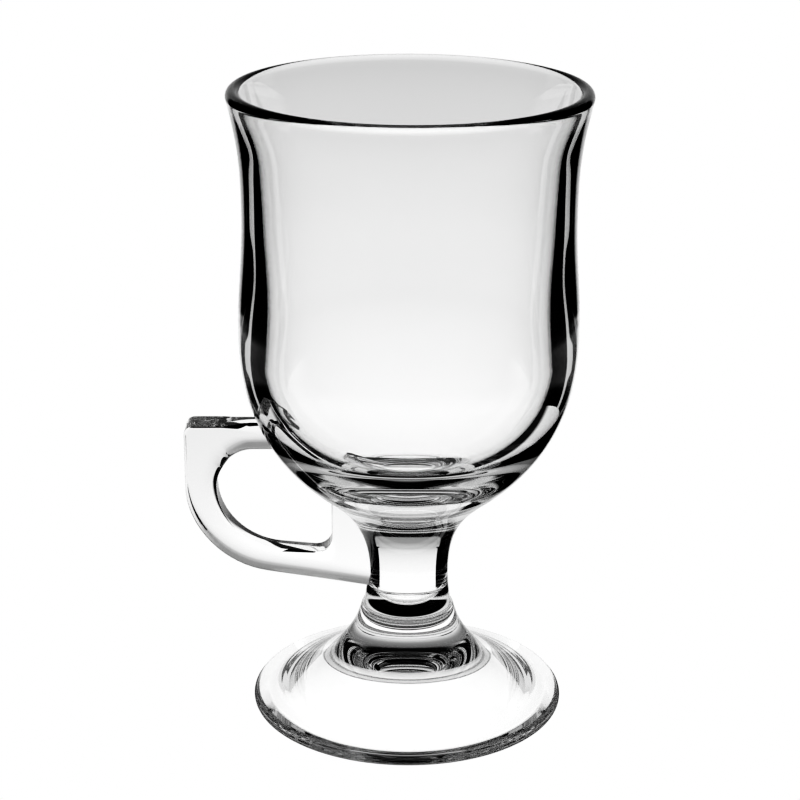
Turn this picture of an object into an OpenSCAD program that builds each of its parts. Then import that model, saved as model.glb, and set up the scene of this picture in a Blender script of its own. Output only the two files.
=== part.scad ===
// Footed glass mug for hot coffee with cream: a heavy pressed bowl, a short solid stem,
// a flared foot and a flat pressed handle. Millimetres, +Z up.
// The origin is the centre of the foot on the table. The handle points to -X.

/* [Bowl] */
// Height of the rim above the table
mug_h = 140.3; // [130:0.1:160]
// Outer diameter of the rim
rim_d = 77; // [73:0.5:84]
// Thickness of the fire-polished rim
rim_t = 3; // [2:0.1:4]
// Angle at which the outside leans out under the rim
rim_lean = 14; // [5:1:25]
// Angle at which the inside leans in under the rim
lip_lean = 12; // [4:1:24]
// Diameter of the slight waist below the rim
waist_d = 71.2; // [69:0.1:73]
// Height of the waist
waist_z = 113; // [106:0.5:118]
// How far the bulge low on the bowl stands out beyond the waist
bulge_out = 1.15; // [0.4:0.05:3]
// Height of the bulge
bulge_z = 87; // [82:0.5:92]
// Thickness of the wall at the waist
wall_t = 4.5; // [3.5:0.1:6.5]
// Height of the lowest point of the inside
floor_z = 56; // [54:0.1:62]
// Height at which the straight wall turns into the round floor of the inside
turn_z = 84; // [78:0.5:90]
// Diameter at which the round underside turns into the neck
neck_d = 40; // [37:0.5:43]
// Height of that turn
neck_z = 51.3; // [50:0.1:53]
// Slope of the underside at that turn
neck_slope = 38; // [32:1:44]

/* [Stem] */
// Diameter of the stem where it is narrowest
stem_d = 18; // [15:0.1:22]
// Height of the narrowest place
stem_z = 31; // [29:0.5:34]
// Step of the fused joint between stem and foot
weld_step = 0.35; // [0.2:0.05:0.6]

/* [Foot] */
// Diameter of the foot
foot_d = 69.3; // [62:0.1:78]
// Thickness of the rounded edge of the foot
edge_t = 3.2; // [2.4:0.1:4.5]
// Slope of the top of the foot at its edge
edge_slope = 18; // [10:1:24]
// Width of the flat ring that stands on the table
ring_w = 4.6; // [3:0.1:8]
// Height of the hollow under the foot
kick_h = 12.5; // [8:0.5:14]

/* [Handle] */
// Distance from the axis to the outside of the handle
handle_reach = 48.9; // [46:0.1:56]
// Thickness of the handle across its flat sides
handle_t = 7.4; // [6:0.1:10]
// Height of the flat thumb rest
thumb_z = 66.2; // [64:0.1:69]
// Length of the flat thumb rest
thumb_l = 6.4; // [4:0.1:8]
// How much the upper arm rises on its way into the bowl
thumb_rise = 0.6; // [0.2:0.05:1.5]
// Width of the grip between the finger hole and the outside
grip_w = 6.75; // [4.5:0.05:8]
// Height of the upper arm at the finger hole
arm_h = 6; // [4.5:0.1:8]
// Distance from the axis to the near side of the finger hole
web_x = 16.8; // [14:0.1:18]
// Height of the floor of the finger hole beside the stem
hole_z = 36.1; // [34:0.1:38]
// Height of the lower arm's underside where it meets the stem
heel_z = 27.9; // [27:0.1:29]
// Fall of the lower arm's underside towards the stem
heel_fall = 8.8; // [4:0.1:11]
// Fall of the floor of the finger hole towards the stem
hole_fall = 5; // [2:0.1:8]
// Radius of the round corners at the thumb rest
thumb_r = 2; // [1:0.1:3]
// Size of the upper round of the finger hole
hole_r = 8.6; // [6:0.1:10]
// Size of the small round of the finger hole beside the stem
web_r = 4; // [2:0.1:5]
// Size of the large round corner outside the lower arm
heel_r = 18; // [12:0.1:20]
// Size of the large round of the finger hole over the lower arm
palm_r = 14; // [9:0.1:14]
// Rounding of the edges of the thumb rest
thumb_edge_r = 0.5; // [0.3:0.1:1.5]
// Rounding of the edges under the upper arm
under_edge_r = 3.3; // [1:0.1:3.6]
// Rounding of the outer edges of the grip
grip_edge_r = 0.6; // [0.4:0.1:2]
// Rounding of the edges of the finger hole from the grip to the web
hole_edge_r = 0.4; // [0.3:0.1:2]
// How far each flat side falls towards those edges
side_fall = 1.1; // [0:0.1:1.4]
// Width over which the sides fall there
side_fall_w = 3.4; // [2:0.1:4]
// Rounding of the edges under the lower arm
heel_edge_r = 3.3; // [1:0.1:3.6]
// How far the top of the upper arm runs on inside the bowl's outline
arm_sink = 5; // [4:0.1:6]
// How far its underside runs on there
under_sink = 9.8; // [9:0.1:11]
// How far the web beside the stem runs on into the bowl
web_sink = 1; // [0.6:0.1:1.5]

/* [Hidden] */
glass = [0.86, 0.92, 0.93, 0.4];
$fn = 128;
// Steps along each curve of a profile, and along each stretch of the handle
curve_n = 20;
stretch_n = 7;
// Steps round each long edge of the handle
edge_n = 5;
// Points on each flat side of the handle's section between its rounded edges
side_n = 4;
// Reach of a curve's two handles, as shares of its ends' distances
round_share = 0.5523;
side_share = 0.4;
// Where the bowl's gather ends on the neck, and where the stem stands in the foot's flare
neck_seam_share = 0.42;
weld_share = 0.17;
// How strongly the neck and the flare hold their directions
neck_shares = [0.7, 0.53];
flare_shares = [0.56, 0.68];
// How the underside rounds from the bulge to the neck
belly_shares = [0.45, 0.38];
// How the inside runs from the lip to its straight part
lip_shares = [0.27, 0.79];
// How the inside rounds from its straight part to the middle of its floor
floor_shares = [0.64, 0.64];
// How round the upper arm is at the bowl, as a share of the handle's thickness
arm_round_share = 0.455;
// Where the upper round of the finger hole passes the two ends of the thumb rest's corner
top_split_shares = [0.45, 0.65];

rim_r = rim_t / 2;
rim_c = [rim_d / 2 - rim_r, mug_h - rim_r];
bore_r = waist_d / 2 - wall_t;
neck_p = [neck_d / 2, neck_z];
stem_p = [stem_d / 2, stem_z];
edge_half = edge_t / 2;
edge_c = [foot_d / 2 - edge_half, edge_half];
ring_r = foot_d / 2 - edge_half;
kick_r = ring_r - ring_w;

// Point at share t of the curve with ends a and d and handles b and c
function bez(a, b, c, d, t) =
    a * pow(1 - t, 3) + b * 3 * t * pow(1 - t, 2) + c * 3 * t * t * (1 - t) + d * pow(t, 3);

// Points of that curve from share t0 to share t1
function run(c, t0 = 0, t1 = 1, n = curve_n) =
    [for (i = [0:n]) bez(c[0], c[1], c[2], c[3], t0 + (t1 - t0) * i / n)];

// Points of an arc about c with radius r from angle a0 to angle a1
function arc(c, r, a0, a1, n = curve_n) =
    [for (i = [0:n]) let (a = a0 + (a1 - a0) * i / n) c + r * [cos(a), sin(a)]];

// Curve that rounds the corner k between a and d
function corner(a, k, d) = [a, a + (k - a) * round_share, d + (k - d) * round_share, d];

// The curves of the outside, as radius and height, from the rim down to the foot's edge
rim_out = rim_c + rim_r * [cos(rim_lean), -sin(rim_lean)];
waist_p = [waist_d / 2, waist_z];
bulge_p = [waist_d / 2 + bulge_out, bulge_z];
flare_len = rim_out[1] - waist_z;
shoulder_len = waist_z - bulge_z;
belly_len = bulge_z - neck_z;
neck_len = neck_z - stem_z;
neck_dir = [cos(neck_slope), sin(neck_slope)];
edge_top = edge_c + edge_half * [sin(edge_slope), cos(edge_slope)];
edge_dir = [cos(edge_slope), -sin(edge_slope)];
flare_w = edge_top[0] - stem_p[0];
lip_curve = [
    rim_out,
    rim_out - flare_len * side_share * [sin(rim_lean), cos(rim_lean)],
    waist_p + [0, flare_len * side_share],
    waist_p
];
shoulder_curve = [
    waist_p,
    waist_p - [0, shoulder_len * side_share],
    bulge_p + [0, shoulder_len * side_share],
    bulge_p
];
belly_curve = [
    bulge_p,
    bulge_p - [0, belly_len * belly_shares[0]],
    neck_p + neck_dir * belly_len * belly_shares[1],
    neck_p
];
neck_curve = [
    neck_p,
    neck_p - neck_dir * (neck_p[0] - stem_p[0]) / cos(neck_slope) * neck_shares[0],
    stem_p + [0, neck_len * neck_shares[1]],
    stem_p
];
flare_curve = [
    stem_p,
    stem_p - [0, (stem_p[1] - edge_top[1]) * flare_shares[0]],
    edge_top - edge_dir * flare_w * flare_shares[1],
    edge_top
];

// The curves of the inside, from the lip down to the axis
lip_in = rim_c + rim_r * [-cos(lip_lean), sin(lip_lean)];
lip_depth = lip_in[1] - turn_z;
turn_depth = turn_z - floor_z;
bore_curve = [
    lip_in,
    lip_in - lip_depth * lip_shares[0] * [sin(lip_lean), cos(lip_lean)],
    [bore_r, turn_z + lip_depth * lip_shares[1]],
    [bore_r, turn_z]
];
floor_curve = [
    [bore_r, turn_z],
    [bore_r, turn_z - turn_depth * floor_shares[0]],
    [bore_r * floor_shares[1], floor_z],
    [0, floor_z]
];

neck_seam = bez(neck_curve[0], neck_curve[1], neck_curve[2], neck_curve[3], neck_seam_share);
weld_seam = bez(flare_curve[0], flare_curve[1], flare_curve[2], flare_curve[3], weld_share);

// Bowl, filled from the axis out, down to its seam with the stem
bowl_side = concat(
    arc(rim_c, rim_r, 90, -rim_lean),
    run(lip_curve),
    run(shoulder_curve),
    run(belly_curve),
    run(neck_curve, 0, neck_seam_share)
);
bowl_hollow = concat(
    arc(rim_c, rim_r, 90, 180 - lip_lean),
    run(bore_curve),
    run(floor_curve)
);
stem_side = concat(run(neck_curve, neck_seam_share, 1), run(flare_curve, 0, weld_share));
foot_side = concat(
    arc(weld_seam + [0, -weld_step], weld_step, 90, 0, edge_n),
    run([for (p = flare_curve) p + [weld_step, 0]], weld_share + weld_step / flare_w, 1),
    arc(edge_c, edge_half, 90 - edge_slope, -90)
);

// Two profile points that fall together count once
function tidy(p) = [for (i = [0:len(p) - 1]) if (i == 0 || norm(p[i] - p[i - 1]) > rim_t / 1000) p[i]];

function backwards(p) = [for (i = [len(p) - 1:-1:0]) p[i]];

module spin(points) {
    rotate_extrude() polygon(tidy(points));
}

module bowl() {
    color(glass) spin(concat(bowl_side, [[0, neck_seam[1]]], backwards(bowl_hollow)));
}

module stem() {
    color(glass) spin(concat(stem_side, [[0, weld_seam[1]], [0, neck_seam[1]]]));
}

module foot() {
    // The hollow is part of a sphere through the inside of the standing ring
    kick_R = (kick_r * kick_r + kick_h * kick_h) / (2 * kick_h);
    kick_a = asin(kick_r / kick_R);
    kick = arc([0, kick_h - kick_R], kick_R, 90 - kick_a, 90);
    color(glass) spin(concat([[0, weld_seam[1]]], foot_side, kick));
}

// Everything inside the outline of bowl, stem and foot
module body_mass() {
    spin(concat([[0, mug_h]], bowl_side, stem_side, foot_side, [[0, 0]]));
}

// The handle is swept along two tracks in the X-Z plane: the outside and the finger hole.
// Both start inside the bowl and end inside the stem, where the body cuts them off.
hole_x = grip_w - handle_reach;
hole_top = thumb_z - arm_h;
root_x = arm_sink - bulge_p[0];
under_x = under_sink - bulge_p[0];
heel_rate = tan(heel_fall);
floor_rate = tan(hole_fall);
function heel_at(x) = [x, heel_z + heel_rate * (-stem_p[0] - x)];
function floor_at(x) = [x, hole_z + floor_rate * (-web_x - x)];
thumb_end = thumb_r - handle_reach;
thumb_start = thumb_end + thumb_l;
heel_x = heel_r - handle_reach;
palm_x = hole_x + palm_r;
web_start = -web_x - web_r;
web_top_z = neck_z + web_sink;
top_round = corner([hole_x + hole_r, hole_top], [hole_x, hole_top], [hole_x, hole_top - hole_r]);
top_lead = (thumb_start - root_x) / 2;
grip_end = heel_at(-handle_reach)[1] + heel_r;
palm_end = floor_at(hole_x)[1] + palm_r;

// Each stretch gives a curve for the outside and one for the hole, and how three sizes run
// along it: the rounding outside, the rounding at the hole, and the fall of the sides there
function straight(a, b) = [a, a + (b - a) / 3, b - (b - a) / 3, b];
function slope_of(c, t) =
    (c[1] - c[0]) * 3 * pow(1 - t, 2) + (c[2] - c[1]) * 6 * t * (1 - t) + (c[3] - c[2]) * 3 * t * t;
function part_of(c, t0, t1) = let (d = (t1 - t0) / 3)
    [bez(c[0], c[1], c[2], c[3], t0),
     bez(c[0], c[1], c[2], c[3], t0) + slope_of(c, t0) * d,
     bez(c[0], c[1], c[2], c[3], t1) - slope_of(c, t1) * d,
     bez(c[0], c[1], c[2], c[3], t1)];

arm_form = [handle_t * arm_round_share, under_edge_r, 0];
thumb_form = [thumb_edge_r, under_edge_r, 0];
grip_form = [grip_edge_r, hole_edge_r, side_fall];
low_form = [heel_edge_r, hole_edge_r, side_fall];
stretches = [
    // Upper arm, from inside the bowl to the thumb rest
    [[[root_x, thumb_z + thumb_rise], [root_x + top_lead, thumb_z + thumb_rise],
      [thumb_start - top_lead, thumb_z], [thumb_start, thumb_z]],
     straight([under_x, hole_top], top_round[0]), arm_form, thumb_form],
    // Thumb rest
    [straight([thumb_start, thumb_z], [thumb_end, thumb_z]),
     part_of(top_round, 0, top_split_shares[0]), thumb_form, thumb_form],
    // Round corner at the end of the thumb rest
    [corner([thumb_end, thumb_z], [-handle_reach, thumb_z], [-handle_reach, thumb_z - thumb_r]),
     part_of(top_round, top_split_shares[0], top_split_shares[1]), thumb_form, grip_form],
    // Grip
    [straight([-handle_reach, thumb_z - thumb_r], [-handle_reach, grip_end]),
     part_of(top_round, top_split_shares[1], 1), grip_form, grip_form],
    // Large round corner
    [corner([-handle_reach, grip_end], heel_at(-handle_reach), heel_at(heel_x)),
     corner([hole_x, min(palm_end, hole_top - hole_r)], floor_at(hole_x), floor_at(palm_x)),
     grip_form, low_form],
    // Lower arm
    [straight(heel_at(heel_x), heel_at(web_start)),
     straight(floor_at(palm_x), floor_at(web_start)), low_form, low_form],
    // Small round beside the stem
    [straight(heel_at(web_start), heel_at(-stem_p[0] - web_r)),
     corner(floor_at(web_start), floor_at(-web_x), [-web_x, hole_z + web_r]), low_form, low_form],
    // Web along the stem, up into the bowl
    [straight(heel_at(-stem_p[0] - web_r), heel_at(-stem_p[0] / 3)),
     straight([-web_x, hole_z + web_r], [-web_x, web_top_z]), low_form, low_form],
    // End of the web, inside the bowl and stem
    [straight(heel_at(-stem_p[0] / 3), [-stem_p[0] / 3, stem_z]),
     straight([-web_x, web_top_z], [-stem_p[0] / 2, web_top_z]), low_form, low_form]
];

// Upper half of a section w wide, from the middle of its outer edge to the middle of the
// hole's edge. The side falls by f towards the hole, as a part of a parabola.
function half_section(w, ro, rh, f) =
    let (half = handle_t / 2, a = min(ro, w / 2, half), b = min(rh, w / 2, half))
    [for (q = concat(arc([a, half - a], a, 180, 90, edge_n),
                     [for (i = [1:side_n]) [a + (w - b - a) * i / (side_n + 1), half]],
                     arc([w - b, half - b], b, 90, 0, edge_n)))
        [q[0], q[1] * (1 - f / half * pow(max(0, 1 - (w - q[0]) / side_fall_w), 2))]];

// Section points between the outside track o and the hole track h
function section(o, h, form) =
    let (w = norm(h - o), u = (h - o) / w, top = half_section(w, form[0], form[1], form[2]))
    [for (q = concat(top, [for (i = [len(top) - 1:-1:0]) [top[i][0], -top[i][1]]]))
        [o[0] + u[0] * q[0], q[1], o[1] + u[1] * q[0]]];

sections = [for (k = [0:len(stretches) - 1], i = [k == 0 ? 0 : 1:stretch_n])
    let (t = i / stretch_n, s = stretches[k])
    section(bez(s[0][0], s[0][1], s[0][2], s[0][3], t),
            bez(s[1][0], s[1][1], s[1][2], s[1][3], t), s[2] + (s[3] - s[2]) * t)];

// Closed skin over a list of sections with the same number of points
module skin(rings) {
    n = len(rings[0]);
    m = len(rings);
    sides = [for (k = [0:m - 2], i = [0:n - 1]) let (j = (i + 1) % n)
        each [[k * n + i, k * n + j, (k + 1) * n + j], [k * n + i, (k + 1) * n + j, (k + 1) * n + i]]];
    ends = [[for (i = [n - 1:-1:0]) i], [for (i = [0:n - 1]) (m - 1) * n + i]];
    polyhedron([for (r = rings) each r], concat(sides, ends));
}

module handle() {
    color(glass) difference() {
        skin(sections);
        body_mass();
    }
}

bowl();
stem();
foot();
handle();
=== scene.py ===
import bpy
import bmesh
import math
from mathutils import Matrix, Vector


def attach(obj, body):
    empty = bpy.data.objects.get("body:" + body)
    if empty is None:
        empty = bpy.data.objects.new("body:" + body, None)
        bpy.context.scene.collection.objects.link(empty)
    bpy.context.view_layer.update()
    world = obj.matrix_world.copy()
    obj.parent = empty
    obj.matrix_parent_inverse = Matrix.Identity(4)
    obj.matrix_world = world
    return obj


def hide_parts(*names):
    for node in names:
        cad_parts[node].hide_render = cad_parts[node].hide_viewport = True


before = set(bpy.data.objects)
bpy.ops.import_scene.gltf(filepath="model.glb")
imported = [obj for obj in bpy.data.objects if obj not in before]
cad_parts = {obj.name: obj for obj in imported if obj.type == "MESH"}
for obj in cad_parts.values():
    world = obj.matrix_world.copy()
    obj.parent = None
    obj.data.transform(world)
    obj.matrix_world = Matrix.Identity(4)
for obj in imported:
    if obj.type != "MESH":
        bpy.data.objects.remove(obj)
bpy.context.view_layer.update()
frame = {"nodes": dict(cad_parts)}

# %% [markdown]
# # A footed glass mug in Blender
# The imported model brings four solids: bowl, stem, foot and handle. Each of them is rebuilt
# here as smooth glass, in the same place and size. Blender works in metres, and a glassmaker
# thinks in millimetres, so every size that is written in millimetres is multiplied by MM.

MM = 0.001
scene = bpy.context.scene
print("solids:", ", ".join(frame["nodes"]))

# %% [markdown]
# ## Camera
# The rim and the foot are circles, and in the photograph they are ellipses. Their widths and
# heights say from how high and how far the mug was taken: a camera half a metre away, a
# little above the rim, that looks down by 19 degrees. A camera can also be placed by eye,
# but glass shows what lies behind it, so a few degrees would change all its reflections.

# %% Camera
CAMERA_AT = Vector((-1.843, -466.70, 234.37))
LOOK_DOWN, TURN_LEFT = 19.259, 0.227
LENS, SENSOR = 102.03, 36

lens = bpy.data.cameras.new("camera")
lens.lens, lens.sensor_width = LENS, SENSOR
camera = bpy.data.objects.new("camera", lens)
scene.collection.objects.link(camera)
camera.matrix_world = (Matrix.Translation(CAMERA_AT * MM)
                       @ Matrix.Rotation(math.radians(90 - LOOK_DOWN), 4, "X")
                       @ Matrix.Rotation(math.radians(TURN_LEFT), 4, "Z"))
scene.camera = camera
print("camera at", [round(v, 1) for v in CAMERA_AT], "mm, lens", LENS, "mm")

# %% [markdown]
# ## Helpers for node trees
# Nodes can be placed by hand in the editor, but a tree that is written down can be read,
# repeated and changed. A few small helpers keep that short: one adds a node and fills its
# inputs with values or links, and the others are sums, products and soft steps.

# %% Helpers: nodes and sums
def add(tree, kind, inputs=(), **settings):
    node = tree.nodes.new(kind)
    for name, value in settings.items():
        setattr(node, name, value)
    for key, value in dict(inputs).items():
        if isinstance(value, bpy.types.NodeSocket):
            tree.links.new(value, node.inputs[key])
        else:
            node.inputs[key].default_value = value
    return node


def calc(tree, operation, *values):
    return add(tree, "ShaderNodeMath", enumerate(values), operation=operation).outputs[0]


def chain(tree, operation, *values):
    result = values[0]
    for value in values[1:]:
        result = calc(tree, operation, result, value)
    return result


def plus(tree, *values):
    return chain(tree, "ADD", *values)


def minus(tree, *values):
    return chain(tree, "SUBTRACT", *values)


def times(tree, *values):
    return chain(tree, "MULTIPLY", *values)


def largest(tree, *values):
    return chain(tree, "MAXIMUM", *values)


def smallest(tree, *values):
    return chain(tree, "MINIMUM", *values)


print("helpers:", ", ".join(f.__name__ for f in (add, plus, minus, times, largest, smallest)))

# %% Helpers: steps, mixes and vectors
def more(tree, value, limit):
    return calc(tree, "GREATER_THAN", value, limit)


def less(tree, value, limit):
    return calc(tree, "LESS_THAN", value, limit)


def flip(tree, share):
    return minus(tree, 1, share)


def ramp(tree, value, low, high, start=0.0, end=1.0):
    return add(tree, "ShaderNodeMapRange",
               {"Value": value, "From Min": low, "From Max": high, "To Min": start,
                "To Max": end}, interpolation_type="SMOOTHSTEP").outputs["Result"]


def mix(tree, factor, a, b):
    return add(tree, "ShaderNodeMix", {"Factor": factor, "A": a, "B": b}).outputs["Result"]


def vector(tree, operation, *values):
    return add(tree, "ShaderNodeVectorMath", enumerate(values), operation=operation).outputs


def split(tree, place):
    return add(tree, "ShaderNodeSeparateXYZ", {0: place}).outputs


print("helpers:", ", ".join(f.__name__ for f in (more, less, flip, ramp, mix, vector, split)))

# %% [markdown]
# ## Floor and light
# Clear glass has no colour of its own: it shows what stands round it, bent and mirrored. A
# photographer sets it on a pale floor in a pale room, and stands dark cards beside it, out of
# the picture, which draw the black lines in its walls. Real boards can be modelled for that.
# Here the floor and the room glow instead, with soft even light and no lamp, and the cards
# are painted into that glow as rules: how bright a place is depends on its angle beside the
# line of sight, on how far it is from the mug, and on the way that the light took through the
# glass. So the dark cards, the bright gaps between them and the shade under the foot are
# painted reflections and painted shade, seen only by light that went through or off the glass.
# Light that the camera sees past the mug is always white.

# %% Boards and blank finishes
def new_finish(name):
    finish = bpy.data.materials.new(name)
    finish.use_nodes = True
    finish.node_tree.nodes.clear()
    return finish, finish.node_tree


def flat_board(name, half, z, finish):
    mesh = bpy.data.meshes.new(name)
    corners = [(-half, -half, z), (half, -half, z), (half, half, z), (-half, half, z)]
    mesh.from_pydata([Vector(corner) * MM for corner in corners], [], [range(4)])
    mesh.materials.append(finish)
    board = bpy.data.objects.new(name, mesh)
    scene.collection.objects.link(board)
    print(name, "is", 2 * half * MM, "m wide")
    return board

# %% [markdown]
# ## Ways through the glass
# The Light Path node counts how often a ray went through a surface and how often it was
# mirrored. Four surfaces and no mirror mean that it went straight through both walls of the
# bowl. A mirror without any surface crossed is a reflection on the outside. Fewer surfaces
# without a mirror mean the stem, the foot, the handle or the far wall seen over the rim.
# Two more helpers measure the angle beside the line of sight, and let the light fade with
# every fold of the distance.

# %% Helper: the way of a ray
def way_of_ray(tree):
    path = add(tree, "ShaderNodeLightPath").outputs
    surfaces, mirrors = path["Transmission Depth"], path["Glossy Depth"]
    mirrored = more(tree, mirrors, 0.5)
    return {
        "straight": path["Is Camera Ray"],
        "through walls": times(tree, more(tree, surfaces, 3.5), flip(tree, mirrored)),
        "mirrored": mirrored,
        "outside": times(tree, mirrored, less(tree, surfaces, 0.5)),
        "twice": more(tree, mirrors, 1.5),
        "four times": more(tree, mirrors, 3.5),
        "often": more(tree, mirrors, 5.5),
        "length": path["Ray Length"],
    }


def side_angle(tree, at):
    return calc(tree, "DEGREES", calc(tree, "ABSOLUTE", calc(tree, "ARCTAN2", at["X"], at["Y"])))


def fading(tree, away, start, near, per_fold, least):
    folds = calc(tree, "LOGARITHM", calc(tree, "DIVIDE", away, near), math.e)
    level = minus(tree, start, times(tree, per_fold, folds))
    return largest(tree, smallest(tree, level, start), least)


print("helpers:", ", ".join(f.__name__ for f in (way_of_ray, side_angle, fading)))

# %% Floor: places
# The floor glows: evenly white to the camera, with painted cards, painted gaps and painted shade
# for light through or off the glass.
floor_finish, t = new_finish("pale floor")
way = way_of_ray(t)
place = add(t, "ShaderNodeTexCoord").outputs["Object"]
at = split(t, place)
away = vector(t, "LENGTH", place)["Value"]
angle, side = side_angle(t, at), calc(t, "ABSOLUTE", at["X"])
print("pale floor:", len(t.nodes), "nodes so far")

# %% [markdown]
# ## The floor through solid glass
# The stem is a lens. It shows the floor between two cards as a bright window with black
# sides. The cards are no boards: they are dark bands painted into the floor's glow for light
# that came through the glass, so the black sides are painted reflections. The handle lies
# beside the axis and looks past the cards, which stand further out for it. Which piece sent
# the ray is told by its length: a ray of the stem starts about 25 mm up on the axis, one of
# the foot starts close to the floor. A card is written as a soft step: the angle or place
# where it begins, where it is full, and the light before and after it.

# %% Floor: light for stem, handle and foot
STEM_SPOT, BESIDE, BEFORE = 25 * MM, 7 * MM, -8 * MM
PAINTED_CARD_AT, PAINTED_CARD_SOFT = 31, 0.7
SIDE_AT, SIDE_SLOPE, SIDE_PAINTED_CARD = 55 * MM, 0.52, (-12 * MM, 6 * MM, 1.0, 0.0)
FOOT_REACH, FOOT_EDGE, FOOT_PAINTED_CARD = 43 * MM, (34.5 * MM, 35 * MM), (31, 36)
IN_FRONT = (-10 * MM, 0.0, 1.0, 0.0)
SOLID_FADE = {"start": 1.12, "near": 60 * MM, "per_fold": 0.165, "least": 0.6}

# Painted cards: the glow is dark beside the stem's window, beside the handle and past the foot's
# edge, and bright in front; no boards stand there.
from_spot = calc(t, "SQRT", plus(t, times(t, away, away), STEM_SPOT ** 2))
ahead = minus(t, from_spot, way["length"])
from_handle = largest(t, more(t, ahead, BESIDE), less(t, ahead, BEFORE))
from_foot = less(t, largest(t, way["length"], away), FOOT_REACH)
stem_light = ramp(t, angle, PAINTED_CARD_AT - PAINTED_CARD_SOFT, PAINTED_CARD_AT + PAINTED_CARD_SOFT, 1.0, 0.0)
painted_card_x = plus(t, times(t, at["Y"], SIDE_SLOPE), SIDE_AT)
handle_light = ramp(t, minus(t, side, painted_card_x), *SIDE_PAINTED_CARD)
past_edge = times(t, ramp(t, away, *FOOT_EDGE), ramp(t, angle, *FOOT_PAINTED_CARD))
foot_light = times(t, from_foot, flip(t, past_edge))
solid = times(t, mix(t, from_handle, stem_light, handle_light), flip(t, from_foot))
solid = plus(t, solid, foot_light)
solid = largest(t, solid, ramp(t, at["Y"], *IN_FRONT))
solid = times(t, solid, fading(t, away, **SOLID_FADE))
print("cards for the stem at", PAINTED_CARD_AT, "degrees, for the handle at", SIDE_AT / MM, "mm")

# %% [markdown]
# ## The floor mirrored in the glass
# Light that is mirrored inside a wall comes from the side, so the walls are black except for
# what lies between the cards: an aisle straight ahead, and a narrow gap that draws the long
# white line. Light that is mirrored more often comes from nearly everywhere, and most of it
# is dark. Light that is mirrored on the outside gives the walls their pale outer edge. All of
# this is painted into the floor's glow for mirrored light alone: the cards are painted dark,
# the aisle and the pale edge are painted reflections, and the long white line is a painted
# highlight.

# %% Floor: light mirrored in the walls
AISLE, AISLE_SOFT = 16.5, 1.5
LINE_FROM, LINE_TO, LINE_SHIFT = 33, 38.5, 6
LINE_MOVES, LINE_LEVEL, AISLE_LEVEL, TABLE_R = (0.25, 0.30), 0.8, 0.65, 165 * MM
ONCE_PAINTED_CARD, ONCE_NEAR = (54, 62, 0.95, 0.02), (20 * MM, 30 * MM)
LATER_PAINTED_CARD, LATER_FAR = (80, 95, 1.0, 0.0), (0.25, 0.33, 0.01, 0.7)

# Painted reflections: a bright aisle and a painted highlight, the long white line, between painted
# dark cards.
line_start = ramp(t, away, *LINE_MOVES, LINE_FROM, LINE_FROM - LINE_SHIFT)
line = times(t, ramp(t, minus(t, angle, line_start), -1, 1),
             ramp(t, angle, LINE_TO - 1, LINE_TO + 1, LINE_LEVEL, 0.0))
aisle = ramp(t, angle, AISLE - AISLE_SOFT, AISLE + AISLE_SOFT, AISLE_LEVEL, 0.0)
gaps = mix(t, more(t, away, TABLE_R), 1.0, largest(t, line, aisle))
once = times(t, ramp(t, angle, *ONCE_PAINTED_CARD), ramp(t, away, *ONCE_NEAR), gaps)
later = times(t, ramp(t, away, *LATER_FAR), ramp(t, angle, *LATER_PAINTED_CARD), flip(t, way["often"]))
print("aisle to", AISLE, "degrees, line from", LINE_FROM, "to", LINE_TO, "degrees")

# %% Floor: light mirrored in the foot and on the outside
FOOT_SHADE_R, PAST_FOOT_SHADE_LEVEL, OFTEN_LOSS = 18 * MM, 0.85, 0.4
OUTSIDE_PAINTED_CARD = (26, 34, 1.0, 0.0)
OUTSIDE_NEAR, OUTSIDE_FAR = (0.06, 0.16, 0.7, 1.0), (0.3, 0.9, 1.0, 0.7)

# Painted shade under the foot: for light mirrored in the foot the glow is black within 18 mm of the
# axis, and dimmer for light mirrored often.
shade_under_foot = times(t, ramp(t, away, FOOT_SHADE_R - 1 * MM, FOOT_SHADE_R + 1 * MM, 0.0, PAST_FOOT_SHADE_LEVEL),
                   flip(t, times(t, way["often"], OFTEN_LOSS)))
shiny = mix(t, from_foot, mix(t, way["twice"], once, later), shade_under_foot)
# Painted reflection: the pale outer edge of the walls.
outside = times(t, ramp(t, away, *OUTSIDE_NEAR), ramp(t, away, *OUTSIDE_FAR),
                ramp(t, angle, *OUTSIDE_PAINTED_CARD))
shiny = mix(t, way["outside"], shiny, outside)
print("dark under the middle of the foot to", FOOT_SHADE_R / MM, "mm")

# %% Floor: all light together
FLOOR_HALF, FLOOR_Z = 4000, -0.02
SEEN_FADE = {"start": 1.17, "near": 150 * MM, "per_fold": 0.23, "least": 0.8}

seen = fading(t, away, **SEEN_FADE)
glassy = mix(t, way["through walls"], mix(t, way["mirrored"], solid, shiny), seen)
level = mix(t, way["straight"], glassy, 1.0)
glow = add(t, "ShaderNodeEmission", {"Color": (1, 1, 1, 1), "Strength": level})
add(t, "ShaderNodeOutputMaterial", {"Surface": glow.outputs[0]})
flat_board("floor", FLOOR_HALF, FLOOR_Z, floor_finish)

# %% [markdown]
# ## Room
# The room round the floor is the world of the scene. It is bright near the floor and falls
# to black overhead, as in a studio with a low light behind the table. A colour ramp over the
# height in degrees holds each of its falls in brightness, one for each way of the light.

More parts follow.
